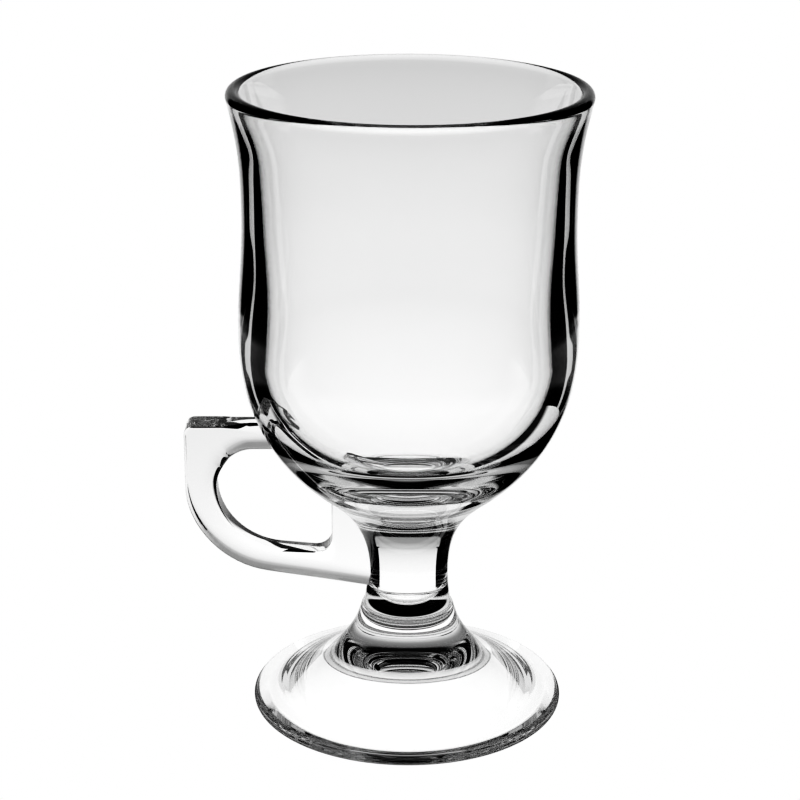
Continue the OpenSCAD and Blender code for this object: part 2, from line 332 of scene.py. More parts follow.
# %% Room: falls of light by height in degrees
ONCE = [(0, 0.95), (5, 0.70), (10, 0.60), (20, 0.35), (30, 0.25), (36, 0.20), (42, 0.01),
        (90, 0.01)]
TWICE = [(0, 0.65), (8, 0.60), (16, 0.25), (28, 0.10), (48, 0.10), (50, 0.01), (90, 0.01)]
FOUR_TIMES = [(0, 0.60), (20, 0.50), (28, 0.40), (32, 0.00), (90, 0.00)]
OFTEN = [(0, 0.25), (15, 0.25), (18, 0.00), (55, 0.00), (58, 0.80), (71, 0.80), (74, 0.00),
         (90, 0.00)]
OUTSIDE = [(0, 0.70), (15, 0.45), (35, 0.00), (90, 0.00)]
SOLID = [(0, 0.60), (10, 0.42), (90, 0.40)]
BEHIND_STEM, ROOM_ONCE, ROOM_LATER = (75, 90), (70, 80, 1.0, 0.0), (95, 105, 1.0, 0.0)

room = bpy.data.worlds.new("room")
room.use_nodes = True
scene.world = room
t = room.node_tree
t.nodes.clear()
at = split(t, add(t, "ShaderNodeTexCoord").outputs["Generated"])
angle = side_angle(t, at)
height = calc(t, "DIVIDE", calc(t, "DEGREES", calc(t, "ARCSINE", at["Z"])), 90)


def by_height(stops):
    node = add(room.node_tree, "ShaderNodeValToRGB", {0: height})
    marks = node.color_ramp.elements
    for number, (degrees, shade) in enumerate(stops):
        mark = marks[number] if number < 2 else marks.new(degrees / 90)
        mark.position, mark.color = degrees / 90, (shade, shade, shade, 1)
    return node.outputs["Color"]


print("the room has", len((ONCE, TWICE, FOUR_TIMES, OFTEN, OUTSIDE, SOLID)), "falls of light")

# %% Room: all light together
way = way_of_ray(t)
between = largest(t, ramp(t, angle, PAINTED_CARD_AT + 1, PAINTED_CARD_AT + 3, 1.0, 0.0),
                  ramp(t, angle, *BEHIND_STEM))
solid = times(t, by_height(SOLID), between)
once = times(t, by_height(ONCE), ramp(t, angle, *ROOM_ONCE))
later = times(t, mix(t, way["four times"], by_height(TWICE), by_height(FOUR_TIMES)),
              ramp(t, angle, *ROOM_LATER))
later = mix(t, way["often"], later, by_height(OFTEN))
outside = times(t, by_height(OUTSIDE), ramp(t, angle, *OUTSIDE_PAINTED_CARD))
shiny = mix(t, way["outside"], mix(t, way["twice"], once, later), outside)
glassy = mix(t, way["mirrored"], solid, shiny)
level = mix(t, largest(t, way["straight"], way["through walls"]), glassy, 1.0)
air = add(t, "ShaderNodeBackground", {"Color": (1, 1, 1, 1), "Strength": level})
add(t, "ShaderNodeOutputWorld", {"Surface": air.outputs[0]})
print("room:", len(t.nodes), "nodes")

# %% [markdown]
# ## Contrast and depth
# A picture of glass on white is printed with hard contrast: the dark lines are pulled down to
# black while the greys stay. The scene's own curve does that. The light must also be allowed
# to cross many surfaces, because a ray through bowl, stem and foot meets a dozen or more.

# %% Contrast curve and light bounces
DARKER = ((0.08, 0.02), (0.30, 0.21), (0.60, 0.58))

view = scene.view_settings
view.view_transform, view.look, view.use_curve_mapping = "Standard", "None", True
levels = view.curve_mapping
for level_in, level_out in DARKER:
    levels.curves[3].points.new(level_in, level_out)
levels.update()

cycles = scene.cycles
cycles.max_bounces, cycles.transmission_bounces, cycles.glossy_bounces = 24, 24, 16
cycles.transparent_max_bounces, cycles.sample_clamp_indirect = 48, 6
print("light may cross", cycles.transmission_bounces, "surfaces")

# %% [markdown]
# ## Clear glass
# Pressed glass is clear and smooth, but not perfect: the chilled mould leaves long, shallow
# waves in it, and the ring that it stands on is scuffed by tables. A glass shader with one
# roughness looks like plastic from close by. This one has a bump of a few thousandths of a
# millimetre, and dull flecks in a thin line round the ring. Where two pieces are fused there
# is no surface in real glass, so the faces of a joint get a second, fully clear finish.

# %% Glass finish: waves of the mould
WAVE, WAVE_DEPTH, WAVE_STRETCH = 14, 0.002 * MM, 0.35


def noise(tree, place, wave, detail=2.0):
    return add(tree, "ShaderNodeTexNoise", {"Vector": place, "Scale": 1 / (wave * MM),
                                            "Detail": detail}).outputs["Fac"]


glass, t = new_finish("clear pressed glass")
place = add(t, "ShaderNodeTexCoord").outputs["Object"]
stretched = add(t, "ShaderNodeMapping", {"Vector": place, "Scale": (1.0, 1.0, WAVE_STRETCH)})
waves = noise(t, stretched.outputs[0], WAVE)
chill = add(t, "ShaderNodeBump", {"Height": waves, "Strength": 1.0, "Distance": WAVE_DEPTH})
print("waves of", WAVE, "mm, up to", WAVE_DEPTH / MM, "mm deep")

# %% Glass finish: scuffs of the ring
WEAR_R, WEAR_HALF, WEAR_Z = 31.6 * MM, 0.3 * MM, 0.03 * MM
FLECK, FLECK_LIMIT, FLECK_ROUGH = 0.9, 0.62, 0.12

at = split(t, place)
flat_place = add(t, "ShaderNodeCombineXYZ", {"X": at["X"], "Y": at["Y"]}).outputs[0]
from_line = calc(t, "ABSOLUTE", minus(t, vector(t, "LENGTH", flat_place)["Value"], WEAR_R))
on_table = times(t, less(t, at["Z"], WEAR_Z), less(t, from_line, WEAR_HALF))
flecks = more(t, noise(t, place, FLECK, 4.0), FLECK_LIMIT)
scuffed = times(t, on_table, flecks, FLECK_ROUGH)
print("scuffed line", 2 * WEAR_R / MM, "mm across")

# %% Glass finish: the shaders
clear_glass = add(t, "ShaderNodeBsdfPrincipled",
                  {"Base Color": (1.0, 1.0, 1.0, 1), "Roughness": scuffed, "IOR": 1.52,
                   "Transmission Weight": 1.0, "Normal": chill.outputs[0]})
add(t, "ShaderNodeOutputMaterial", {"Surface": clear_glass.outputs[0]})

fused, t = new_finish("fused joint")
no_surface = add(t, "ShaderNodeBsdfTransparent")
add(t, "ShaderNodeOutputMaterial", {"Surface": no_surface.outputs[0]})
print("finishes:", glass.name, "and", fused.name)

# %% [markdown]
# ## Profiles
# Bowl, stem and foot are turned shapes. A mould maker draws such an outline as a templet, in
# radius and height. It could be traced as a row of points, but glass shows every dent as a
# kink in its reflections. Long Bezier curves that meet with the same direction stay smooth,
# and each has a few sizes that can be read off a real mug.

# %% Curves of the templet
def bend(a, b, c, d, t):
    return (a * (1 - t) ** 3 + b * 3 * t * (1 - t) ** 2 + c * 3 * t * t * (1 - t) + d * t ** 3)


def run(curve, t0=0.0, t1=1.0, steps=40):
    return [bend(*curve, t0 + (t1 - t0) * i / steps) for i in range(steps + 1)]


def arc(centre, r, a0, a1, steps=24):
    turns = [math.radians(a0 + (a1 - a0) * i / steps) for i in range(steps + 1)]
    return [centre + r * Vector((math.cos(a), math.sin(a))) for a in turns]


def leaning(angle):
    return Vector((math.sin(math.radians(angle)), math.cos(math.radians(angle))))


UP = Vector((0, 1))
print("a lean of 14 degrees goes", tuple(round(v, 3) for v in leaning(14)))

# %% [markdown]
# ## Outside of the mug
# From the top: a round lip that leans out, a slight waist, a full belly, a neck that draws in
# to the stem, and a flare that runs out to the thin edge of the foot. One point and one
# direction at each meeting place are enough to fix all five curves. A pull says how far a
# curve keeps the direction of its end, as a share of its height or width.

# %% Sizes of the outside
MUG_H, RIM_R, RIM_HALF, RIM_LEAN = 140.3, 38.5, 1.5, 14
WAIST, BULGE = Vector((35.6, 113)), Vector((36.75, 87))
NECK, NECK_SLOPE, NECK_RUN, STEM = Vector((20, 51.3)), 38, 11, Vector((9, 31))
FOOT_R, EDGE_HALF, EDGE_SLOPE = 34.65, 1.6, 18

rim_c = Vector((RIM_R - RIM_HALF, MUG_H - RIM_HALF))
lean = leaning(RIM_LEAN)
rim_out = rim_c + RIM_HALF * Vector((lean.y, -lean.x))
neck_dir = leaning(90 - NECK_SLOPE)
edge_c = Vector((FOOT_R - EDGE_HALF, EDGE_HALF))
edge_top = edge_c + EDGE_HALF * leaning(EDGE_SLOPE)
edge_dir = Vector((leaning(EDGE_SLOPE).y, -leaning(EDGE_SLOPE).x))
for place, radius in (("rim", RIM_R), ("waist", WAIST.x), ("belly", BULGE.x), ("stem", STEM.x),
                      ("foot", FOOT_R)):
    print(place, round(2 * radius, 1), "mm across")

# %% Curves of the outside
WALL_PULL, BELLY_PULLS, NECK_PULLS, FLARE_PULLS = 0.4, (0.45, 0.38), (0.7, 0.53), (0.56, 0.68)

lip_len = WALL_PULL * (rim_out.y - WAIST.y)
shoulder_len = WALL_PULL * (WAIST.y - BULGE.y)
belly_len = BULGE.y - NECK.y
neck_len = NECK_PULLS[0] * NECK_RUN / math.cos(math.radians(NECK_SLOPE))
flare_w = edge_top.x - STEM.x

lip_curve = (rim_out, rim_out - lip_len * lean, WAIST + lip_len * UP, WAIST)
shoulder_curve = (WAIST, WAIST - shoulder_len * UP, BULGE + shoulder_len * UP, BULGE)
belly_curve = (BULGE, BULGE - BELLY_PULLS[0] * belly_len * UP,
               NECK + BELLY_PULLS[1] * belly_len * neck_dir, NECK)
neck_curve = (NECK, NECK - neck_dir * neck_len,
              STEM + NECK_PULLS[1] * (NECK.y - STEM.y) * UP, STEM)
flare_curve = (STEM, STEM - FLARE_PULLS[0] * (STEM.y - edge_top.y) * UP,
               edge_top - FLARE_PULLS[1] * flare_w * edge_dir, edge_top)
print("belly", round(belly_len, 1), "mm high, flare", round(flare_w, 1), "mm wide")

# %% [markdown]
# ## Inside of the bowl
# A plunger presses the inside, so it must widen towards the rim all the way, or the plunger
# would not come out. The wall is thin at the rim and heavy at the bottom, which keeps the
# drink hot and the mug from tipping.

# %% Curves of the inside
LIP_LEAN = 12
BOTTOM_Z, BORE_R, BORE_Z, BOTTOM_ROUND, BORE_PULLS = 56.0, 31.1, 84.0, 0.64, (0.27, 0.79)

bore_foot = Vector((BORE_R, BORE_Z))
lip_in = rim_c + RIM_HALF * Vector((-leaning(LIP_LEAN).y, leaning(LIP_LEAN).x))
bore_len = lip_in.y - BORE_Z
bore_curve = (lip_in, lip_in - BORE_PULLS[0] * bore_len * leaning(LIP_LEAN),
              bore_foot + BORE_PULLS[1] * bore_len * UP, bore_foot)
bottom_curve = (bore_foot, bore_foot - BOTTOM_ROUND * (BORE_Z - BOTTOM_Z) * UP,
                Vector((BOTTOM_ROUND * BORE_R, BOTTOM_Z)), Vector((0, BOTTOM_Z)))
print("wall at the rim", 2 * RIM_HALF, "mm, at the belly", round(BULGE.x - BORE_R, 2), "mm")

# %% [markdown]
# ## Seams and lines
# Bowl, stem and foot are cut where the hot pieces are joined: under the belly and on the
# flare. The foot grips the stem with a collar that stands a third of a millimetre proud. A
# mesh that is turned needs one line from the axis round to the axis, so each piece gets its
# outside, its inside or hollow, and flat discs at the seams.

# %% Seams
NECK_SEAM, WELD_SEAM, WELD = 0.42, 0.17, 0.35

neck_seam, weld_seam = bend(*neck_curve, NECK_SEAM), bend(*flare_curve, WELD_SEAM)


def disc(seam, inwards, steps=6):
    line = [Vector((seam.x * i / steps, seam.y)) for i in range(steps + 1)]
    return line[::-1] if inwards else line


def joined(*runs):
    line = []
    for stretch in runs:
        for p in stretch:
            if not line or (p - line[-1]).length > 1e-4:
                line.append(p)
    return line


print("seams at heights of", round(neck_seam.y, 2), "and", round(weld_seam.y, 2), "mm")

# %% Lines of bowl and stem
bowl_outside = joined(run(neck_curve, 0, NECK_SEAM, 24)[::-1], run(belly_curve, steps=56)[::-1],
                      run(shoulder_curve, steps=30)[::-1], run(lip_curve, steps=36)[::-1],
                      arc(rim_c, RIM_HALF, -RIM_LEAN, 90, 14))
bowl_inside = joined(arc(rim_c, RIM_HALF, 90, 180 - LIP_LEAN, 12), run(bore_curve, steps=44),
                     run(bottom_curve, steps=64))
stem_outside = joined(run(flare_curve, 0, WELD_SEAM, 24)[::-1],
                      run(neck_curve, NECK_SEAM, 1, 40)[::-1])
bowl_line = joined(disc(neck_seam, False), bowl_outside, bowl_inside)
stem_line = joined(disc(weld_seam, False), stem_outside, disc(neck_seam, True))
print("points: bowl", len(bowl_line), "stem", len(stem_line))

# %% [markdown]
# ## Hollow of the foot
# The foot is hollow underneath, so that it stands on a ring and does not rock. The hollow is
# a shallow dome. Where it meets the ring, hot glass draws itself round, and a small arc that
# touches both takes the place of the sharp corner, which would show as a hard line.

# %% Line of the foot
RING_W, HOLLOW_H, INNER_ROUND = 4.6, 12.5, 5.0

hollow_r = FOOT_R - EDGE_HALF - RING_W
dome_r = (hollow_r ** 2 + HOLLOW_H ** 2) / (2 * HOLLOW_H)
dome_a = math.degrees(math.asin(hollow_r / dome_r))
round_len = INNER_ROUND * math.tan(math.radians(dome_a / 2))
cut_a = dome_a - math.degrees(round_len / dome_r)
dome = arc(Vector((0, HOLLOW_H - dome_r)), dome_r, 90, 90 - cut_a, 40)
ring_round = arc(Vector((hollow_r + round_len, INNER_ROUND)), INNER_ROUND, -90 - cut_a, -90, 10)
collar = [p + Vector((WELD, 0)) for p in run(flare_curve, WELD_SEAM + WELD / flare_w, 1, 80)]
foot_outside = joined(arc(edge_c, EDGE_HALF, -90, 90 - EDGE_SLOPE, 24), collar[::-1],
                      arc(weld_seam - WELD * UP, WELD, 0, 90, 8))
foot_line = joined(dome, ring_round, foot_outside, disc(weld_seam, True))
whole_line = joined([Vector((0, 0))], foot_outside, stem_outside, bowl_outside,
                    [Vector((0, MUG_H))])
print("points: foot", len(foot_line), "- flat ring from", round(ring_round[-1].x, 2), "to",
      round(edge_c.x, 2), "mm")

# %% [markdown]
# ## Turning
# A revolved shape could be made with the Screw modifier or with Spin. Geometry Nodes do it
# here because one tree can also close the seam and the poles, mark the fused faces and set
# both finishes. A flat grid has one row for each point of the templet and one column for
# each step round, and every point of the grid moves to its place on the turned surface.

# %% Helpers: geometry trees
def geometry_tree(name, sizes):
    tree = bpy.data.node_groups.new(name, "GeometryNodeTree")
    face = tree.interface
    face.new_socket("Geometry", in_out="INPUT", socket_type="NodeSocketGeometry")
    face.new_socket("Geometry", in_out="OUTPUT", socket_type="NodeSocketGeometry")
    for label, kind in sizes:
        face.new_socket(label, in_out="INPUT", socket_type="NodeSocket" + kind)
    group_in, group_out = add(tree, "NodeGroupInput"), add(tree, "NodeGroupOutput")
    return tree, group_in.outputs, group_out.inputs[0]


def use_tree(piece, tree, values):
    step = piece.modifiers.new(tree.name, "NODES")
    step.node_group = tree
    for item in tree.interface.items_tree:
        if item.in_out == "INPUT" and item.name in values:
            step[item.identifier] = values[item.name]


def wire(name, points, ends):
    mesh = bpy.data.meshes.new(name)
    mesh.from_pydata([(p.x * MM, 0, p.y * MM) for p in points], ends, [])
    piece = bpy.data.objects.new(name, mesh)
    scene.collection.objects.link(piece)
    return piece


print("helpers:", ", ".join(f.__name__ for f in (geometry_tree, use_tree, wire)))

# %% Helpers: smooth faces with creases, and plain meshes
def creased(tree, geometry, sharp_angle):
    bent = add(tree, "GeometryNodeInputMeshEdgeAngle").outputs["Unsigned Angle"]
    sharp = add(tree, "FunctionNodeCompare", {"A": bent, "B": sharp_angle},
                operation="GREATER_THAN", data_type="FLOAT").outputs[0]
    smooth = add(tree, "GeometryNodeSetShadeSmooth",
                 {"Geometry": geometry, "Shade Smooth": True}, domain="FACE").outputs[0]
    return add(tree, "GeometryNodeSetShadeSmooth",
               {"Geometry": smooth, "Selection": sharp, "Shade Smooth": False},
               domain="EDGE").outputs[0]


def keep_used_finishes(mesh):
    faces = [mesh.materials[p.material_index] for p in mesh.polygons]
    used = list(dict.fromkeys(faces))
    mesh.materials.clear()
    for finish in used:
        mesh.materials.append(finish)
    mesh.polygons.foreach_set("material_index", [used.index(finish) for finish in faces])


def bake(source, name):
    bpy.context.view_layer.update()
    shape = source.evaluated_get(bpy.context.evaluated_depsgraph_get())
    mesh = bpy.data.meshes.new_from_object(shape)
    mesh.name = name
    keep_used_finishes(mesh)
    piece = bpy.data.objects.new(name, mesh)
    scene.collection.objects.link(piece)
    bpy.data.objects.remove(source)
    mesh.calc_loop_triangles()
    print(name, len(mesh.loop_triangles), "triangles")
    return piece

# %% Tree: turned glass, the grid and its rows
turning, size, turned_out = geometry_tree("Turned glass", [
    ("Steps round", "Int"), ("Joint rows first", "Int"), ("Joint rows last", "Int"),
    ("Sharp angle", "Float"), ("Glass", "Material"), ("Joint", "Material")])
t = turning
count = add(t, "GeometryNodeAttributeDomainSize", {"Geometry": size["Geometry"]},
            component="MESH").outputs["Point Count"]
last = minus(t, count, 1)
grid = add(t, "GeometryNodeMeshGrid",
           {"Size X": 1.0, "Size Y": 1.0, "Vertices Y": count,
            "Vertices X": plus(t, size["Steps round"], 1)}).outputs["Mesh"]
here = add(t, "GeometryNodeInputPosition").outputs[0]
spot = split(t, here)
turn = times(t, plus(t, spot["X"], 0.5), math.tau)
row = calc(t, "ROUND", times(t, plus(t, spot["Y"], 0.5), last))
print("inputs:", ", ".join(socket.name for socket in size if socket.name))

# %% Tree: turned glass, every point to its place
point = split(t, add(t, "GeometryNodeSampleIndex",
                     {"Geometry": size["Geometry"], "Value": here, "Index": row},
                     data_type="FLOAT_VECTOR", domain="POINT").outputs[0])
there = add(t, "ShaderNodeCombineXYZ", {
    "X": times(t, point["X"], calc(t, "COSINE", turn)),
    "Y": times(t, point["X"], calc(t, "SINE", turn)), "Z": point["Z"]}).outputs[0]
kept = add(t, "GeometryNodeCaptureAttribute", domain="POINT")
kept.capture_items.new("FLOAT", "row")
t.links.new(grid, kept.inputs["Geometry"])
t.links.new(row, kept.inputs["row"])
turned = add(t, "GeometryNodeSetPosition",
             {"Geometry": kept.outputs["Geometry"], "Position": there}).outputs[0]
closed = add(t, "GeometryNodeMergeByDistance",
             {"Geometry": turned, "Distance": 1e-6}).outputs[0]
print("turned glass:", len(t.nodes), "nodes so far")

# %% Tree: turned glass, creases and finishes
of_row = kept.outputs["row"]
in_joint = largest(t, less(t, of_row, size["Joint rows first"]),
                   more(t, of_row, minus(t, last, size["Joint rows last"])))
real = add(t, "GeometryNodeRealizeInstances",
           {"Geometry": creased(t, closed, size["Sharp angle"])}).outputs[0]
all_glass = add(t, "GeometryNodeSetMaterial",
                {"Geometry": real, "Material": size["Glass"]}).outputs[0]
with_joint = add(t, "GeometryNodeSetMaterial",
                 {"Geometry": all_glass, "Material": size["Joint"],
                  "Selection": in_joint}).outputs[0]
t.links.new(with_joint, turned_out)
print("turned glass:", len(t.nodes), "nodes")

# %% [markdown]
# ## Bowl, stem and foot
# The bowl is one heavy pressing with a fire-polished rim, the stem a short solid rod, and the
# foot a flared disc. The tree turns all three, with 224 steps round, which is enough for a
# highlight to run along the rim without corners. A fourth shape, the whole outside without
# any hollow, is turned for one use only: the handle is cut along it later.

# %% Turned blanks
STEPS_ROUND, TURNED_CREASE, SEAM_ROWS = 224, math.radians(35), 6


def turned_piece(name, line, first, last):
    templet = wire(name + "_templet", line, [(i, i + 1) for i in range(len(line) - 1)])
    use_tree(templet, turning, {"Steps round": STEPS_ROUND, "Joint rows first": first,
                                "Joint rows last": last, "Sharp angle": TURNED_CREASE,
                                "Glass": glass, "Joint": fused})
    return bake(templet, name)


bowl_blank = turned_piece("bowl_blank", bowl_line, SEAM_ROWS, 0)
stem_blank = turned_piece("stem_blank", stem_line, SEAM_ROWS, SEAM_ROWS)
foot = turned_piece("foot_glass", foot_line, 0, SEAM_ROWS)
whole = turned_piece("whole_outline", whole_line, 0, 0)

# %% [markdown]
# ## Handle
# The handle is pressed flat between two halves of a mould. It has a flat thumb rest on top, a
# finger hole like a D, sides that fall towards the hole, and a web that sits on the stem. It
# could be cut from a plate with a round-edged hole, but its width changes all the way round.
# So its outline is drawn as two tracks, the outside and the hole, and a section of glass is
# carried along both. Each place on the way has its own edge radii.

# %% Sizes of the handle
REACH, THICK = 48.9, 7.4
THUMB_Z, THUMB_L, THUMB_RISE, THUMB_R = 66.2, 6.4, 0.6, 2
GRIP_W, ARM_H, WEB_X, WEB_R = 6.75, 6, 16.8, 4
HOLE_Z, HOLE_R, HOLE_FALL, PALM_R = 36.1, 8.6, 5, 14
HEEL_Z, HEEL_R, HEEL_FALL = 27.9, 18, 8.8
ARM_SINK, UNDER_SINK, WEB_SINK = 5, 9.8, 1

hole_x, hole_top = GRIP_W - REACH, THUMB_Z - ARM_H
root_x, under_x = ARM_SINK - BULGE.x, UNDER_SINK - BULGE.x
thumb_end = THUMB_R - REACH
thumb_start = thumb_end + THUMB_L
lead = (thumb_start - root_x) / 2
heel_x, palm_x, web_start = HEEL_R - REACH, hole_x + PALM_R, -WEB_X - WEB_R
web_top = NECK.y + WEB_SINK
print("finger hole from", HOLE_Z, "to", hole_top, "mm high")

# %% Curves of the tracks
QUARTER_ROUND = 0.5523


def spot2(x, z):
    return Vector((x, z))


def corner(a, k, d):
    return (a, a + (k - a) * QUARTER_ROUND, d + (k - d) * QUARTER_ROUND, d)


def line(a, b):
    return (a, a + (b - a) / 3, b - (b - a) / 3, b)


def slope(c, t):
    return ((c[1] - c[0]) * 3 * (1 - t) ** 2 + (c[2] - c[1]) * 6 * t * (1 - t)
            + (c[3] - c[2]) * 3 * t * t)


def part(c, t0, t1):
    d = (t1 - t0) / 3
    start, end = bend(*c, t0), bend(*c, t1)
    return (start, start + slope(c, t0) * d, end - slope(c, t1) * d, end)


def heel(x):
    return spot2(x, HEEL_Z + math.tan(math.radians(HEEL_FALL)) * (-STEM.x - x))


def hole_floor(x):
    return spot2(x, HOLE_Z + math.tan(math.radians(HOLE_FALL)) * (-WEB_X - x))


grip_end, palm_end = heel(-REACH).y + HEEL_R, hole_floor(hole_x).y + PALM_R
print("grip ends at", round(grip_end, 1), "mm, palm round at", round(palm_end, 1), "mm")

# %% Forms of the section: radius outside, radius at the hole, fall of the sides
THUMB_EDGE, UNDER_EDGE, GRIP_EDGE, HOLE_EDGE, HEEL_EDGE = 0.5, 3.3, 0.6, 0.4, 3.3
ARM_EDGE, SIDE_FALL, SIDE_FALL_W = 0.455 * THICK, 1.1, 3.4

arm_form, thumb_form = Vector((ARM_EDGE, UNDER_EDGE, 0)), Vector((THUMB_EDGE, UNDER_EDGE, 0))
grip_form = Vector((GRIP_EDGE, HOLE_EDGE, SIDE_FALL))
low_form = Vector((HEEL_EDGE, HOLE_EDGE, SIDE_FALL))
print("sides fall by", SIDE_FALL, "mm over", SIDE_FALL_W, "mm")

# %% Stretches of the handle: outer track, hole track, form at the start and at the end
SPLITS = (0.45, 0.65)

top_round = corner(spot2(hole_x + HOLE_R, hole_top), spot2(hole_x, hole_top),
                   spot2(hole_x, hole_top - HOLE_R))
above = (spot2(root_x, THUMB_Z + THUMB_RISE), spot2(root_x + lead, THUMB_Z + THUMB_RISE),
         spot2(thumb_start - lead, THUMB_Z), spot2(thumb_start, THUMB_Z))
stretches = [
    (above, line(spot2(under_x, hole_top), top_round[0]), arm_form, thumb_form),
    (line(spot2(thumb_start, THUMB_Z), spot2(thumb_end, THUMB_Z)), part(top_round, 0, SPLITS[0]),
     thumb_form, thumb_form),
    (corner(spot2(thumb_end, THUMB_Z), spot2(-REACH, THUMB_Z), spot2(-REACH, THUMB_Z - THUMB_R)),
     part(top_round, *SPLITS), thumb_form, grip_form),
    (line(spot2(-REACH, THUMB_Z - THUMB_R), spot2(-REACH, grip_end)),
     part(top_round, SPLITS[1], 1), grip_form, grip_form),
    (corner(spot2(-REACH, grip_end), heel(-REACH), heel(heel_x)),
     corner(spot2(hole_x, min(palm_end, hole_top - HOLE_R)), hole_floor(hole_x),
            hole_floor(palm_x)), grip_form, low_form),
    (line(heel(heel_x), heel(web_start)), line(hole_floor(palm_x), hole_floor(web_start)),
     low_form, low_form),
    (line(heel(web_start), heel(-STEM.x - WEB_R)),
     corner(hole_floor(web_start), hole_floor(-WEB_X), spot2(-WEB_X, HOLE_Z + WEB_R)),
     low_form, low_form),
    (line(heel(-STEM.x - WEB_R), heel(-STEM.x / 3)),
     line(spot2(-WEB_X, HOLE_Z + WEB_R), spot2(-WEB_X, web_top)), low_form, low_form),
    (line(heel(-STEM.x / 3), spot2(-STEM.x / 3, STEM.y)),
     line(spot2(-WEB_X, web_top), spot2(-STEM.x / 2, web_top)), low_form, low_form),
]
print("stretches:", len(stretches))

# %% Stations along the handle
PER_STRETCH = 16

outer_track, hole_track, forms = [], [], []
for number, (outer, inner, form_0, form_1) in enumerate(stretches):
    for i in range(0 if number == 0 else 1, PER_STRETCH + 1):
        outer_track.append(bend(*outer, i / PER_STRETCH))
        hole_track.append(bend(*inner, i / PER_STRETCH))
        forms.append(form_0.lerp(form_1, i / PER_STRETCH))
ends = [0] + list(range(len(outer_track))) + [len(outer_track) - 1]
tracks = wire("tracks", [outer_track[i] for i in ends],
              [(i, i + 1) for i in range(len(ends) - 1)])


def store(mesh, name, kind, field, values):
    layer = mesh.attributes.new(name, kind, "POINT")
    for item, value in zip(layer.data, values):
        setattr(item, field, value)


store(tracks.data, "hole", "FLOAT_VECTOR", "vector",
      [(hole_track[i].x * MM, 0, hole_track[i].y * MM) for i in ends])
store(tracks.data, "form", "FLOAT_VECTOR", "vector", [forms[i] * MM for i in ends])
store(tracks.data, "scale", "FLOAT", "value", [0.0] + [1.0] * len(outer_track) + [0.0])
print("stations along the handle:", len(outer_track))

# %% [markdown]
# ## Pressing the handle
# The wire of stations carries what the tree needs: the point of the hole track opposite, the
# radii of the edges, and a scale that is zero at both ends, where the skin closes. The tree
# lays a grid over it, with one row for each station and one column for each step round the
# section. The section has four rounded corners, and every step belongs to one of them.

# %% Tree: pressed handle, the grid and the stations
pressing, size, pressed_out = geometry_tree("Pressed handle", [
    ("Thickness", "Float"), ("Fall width", "Float"), ("Steps round an edge", "Int"),
    ("Steps on a side", "Int"), ("Glass", "Material")])
t = pressing
edge_steps = size["Steps round an edge"]
count = add(t, "GeometryNodeAttributeDomainSize", {"Geometry": size["Geometry"]},
            component="MESH").outputs["Point Count"]
per_corner = plus(t, edge_steps, size["Steps on a side"], 2)
around = times(t, per_corner, 4)
grid = add(t, "GeometryNodeMeshGrid",
           {"Size X": 1.0, "Size Y": 1.0, "Vertices Y": count,
            "Vertices X": plus(t, around, 1)}).outputs["Mesh"]
here = add(t, "GeometryNodeInputPosition").outputs[0]
spot = split(t, here)
station = calc(t, "ROUND", times(t, plus(t, spot["Y"], 0.5), minus(t, count, 1)))
step = calc(t, "ROUND", times(t, plus(t, spot["X"], 0.5), around))
step = calc(t, "MODULO", step, around)
print("inputs:", ", ".join(socket.name for socket in size if socket.name))

# %% Tree: pressed handle, what a station carries
def sampled(value, kind):
    return add(pressing, "GeometryNodeSampleIndex",
               {"Geometry": size["Geometry"], "Value": value, "Index": station},
               data_type=kind, domain="POINT").outputs[0]


def stored(name, kind):
    field = add(pressing, "GeometryNodeInputNamedAttribute", {"Name": name}, data_type=kind)
    return sampled(field.outputs[0], kind)


outer, inner = sampled(here, "FLOAT_VECTOR"), stored("hole", "FLOAT_VECTOR")
form = split(t, stored("form", "FLOAT_VECTOR"))
scale = stored("scale", "FLOAT")
across = vector(t, "SUBTRACT", inner, outer)[0]
half = times(t, size["Thickness"], 0.5)
half_w = times(t, vector(t, "LENGTH", across)["Value"], 0.5)
print("pressed handle:", len(t.nodes), "nodes so far")

# %% Tree: pressed handle, which corner and how far round it
corner_no = calc(t, "FLOOR", calc(t, "DIVIDE", plus(t, step, 0.5), per_corner))
in_corner = minus(t, step, times(t, corner_no, per_corner))
backwards = calc(t, "MODULO", corner_no, 2)
from_edge = mix(t, backwards, in_corner, minus(t, per_corner, 1, in_corner))
is_outer = calc(t, "COMPARE", calc(t, "ABSOLUTE", minus(t, corner_no, 1.5)), 1.5, 0.1)
side_x = flip(t, times(t, is_outer, 2))
side_y = minus(t, times(t, less(t, corner_no, 1.5), 2), 1)
radius = smallest(t, mix(t, is_outer, form["Y"], form["X"]), half_w, half)
share = calc(t, "DIVIDE", minus(t, from_edge, 1), edge_steps)
share = smallest(t, largest(t, share, 0), 1)
turned_share = mix(t, backwards, share, flip(t, share))
phi = minus(t, math.pi, times(t, plus(t, corner_no, turned_share), math.pi / 2))
print("pressed handle:", len(t.nodes), "nodes so far")

# %% Tree: pressed handle, one point of the section
EDGE_FLAT = 0.25 * MM

edge_slip = smallest(t, EDGE_FLAT, times(t, minus(t, half, radius), 0.5))
edge_slip = times(t, less(t, from_edge, 0.5), edge_slip)
side_no = largest(t, minus(t, from_edge, edge_steps, 1), 0)
side_share = calc(t, "DIVIDE", side_no, plus(t, size["Steps on a side"], 0.5))
flat_w = minus(t, half_w, radius)
section_x = plus(t, times(t, side_x, minus(t, flat_w, times(t, flat_w, side_share))),
                 times(t, radius, calc(t, "COSINE", phi)))
section_y = plus(t, times(t, side_y, minus(t, half, radius, edge_slip)),
                 times(t, radius, calc(t, "SINE", phi)))
print("pressed handle:", len(t.nodes), "nodes so far")

